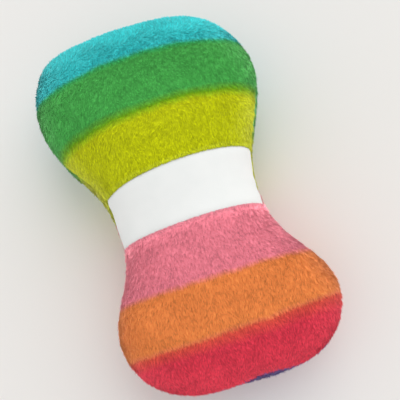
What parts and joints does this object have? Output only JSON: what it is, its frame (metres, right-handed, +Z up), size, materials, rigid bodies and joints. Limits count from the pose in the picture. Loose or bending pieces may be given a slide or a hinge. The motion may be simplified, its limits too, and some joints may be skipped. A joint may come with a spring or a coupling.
{
  "type": "squeaky plush dog toy",
  "caption": "Stuffed bow-tie shaped plush dog toy with rainbow stripes, a bare white waist band and a bellows squeaker inside.",
  "frame": {"origin": "on the floor under the middle of the toy's box", "axes": "+Z up, away from the floor; +Y along the toy towards the turquoise end; +X to the right as seen from above with the turquoise end away"},
  "size_m": [0.1264, 0.2, 0.0611],
  "materials": {
    "plush_cool_stripes": "short-pile polyester plush with printed turquoise, green and lime stripes",
    "white_band_fabric": "smooth bare white knit",
    "plush_warm_stripes": "short-pile polyester plush with printed pink, orange and red stripes",
    "plush_back_stripes": "short-pile polyester plush with printed rainbow stripes",
    "sewing_thread": "spun polyester thread",
    "polyester_stuffing": "loose white hollow-fibre polyester",
    "bellows_plastic": "blow-moulded soft polyethylene",
    "reed_plug_plastic": "injection-moulded hard plastic",
    "reed_brass": "thin rolled spring brass"
  },
  "bodies": {
    "root": {"front_top_panel": "plush_cool_stripes", "front_centre_band": "white_band_fabric", "front_bottom_panel": "plush_warm_stripes", "back_panel": "plush_back_stripes", "perimeter_seam_thread": "sewing_thread", "upper_band_seam_thread": "sewing_thread", "lower_band_seam_thread": "sewing_thread", "closing_stitch": "sewing_thread", "fill_top_lobe": "polyester_stuffing", "fill_bottom_lobe": "polyester_stuffing", "fill_waist": "polyester_stuffing", "bellows_wall": "bellows_plastic", "bellows_base": "bellows_plastic", "reed_housing": "reed_plug_plastic", "reed_toneboard": "reed_plug_plastic", "reed_wedge": "reed_plug_plastic"},
    "press": {"fill_press_pad": "polyester_stuffing", "bellows_crown": "bellows_plastic"},
    "reed": {"reed_tongue": "reed_brass"}
  },
  "joints": [
    {"name": "squeaker_press", "type": "slide", "parent": "root", "child": "press", "axis": [0, 0, -1], "range_m": [0, 0.01], "stiffness_N_per_m": 900, "deforming": ["bellows_wall"]},
    {"name": "reed_flex", "type": "hinge", "parent": "root", "child": "reed", "pos_m": [0.00203, -0.00675, 0.02152], "axis": [0, 1, 0], "range_deg": [-1.1, 6], "stiffness_Nm_per_rad": 0.0002}
  ]
}
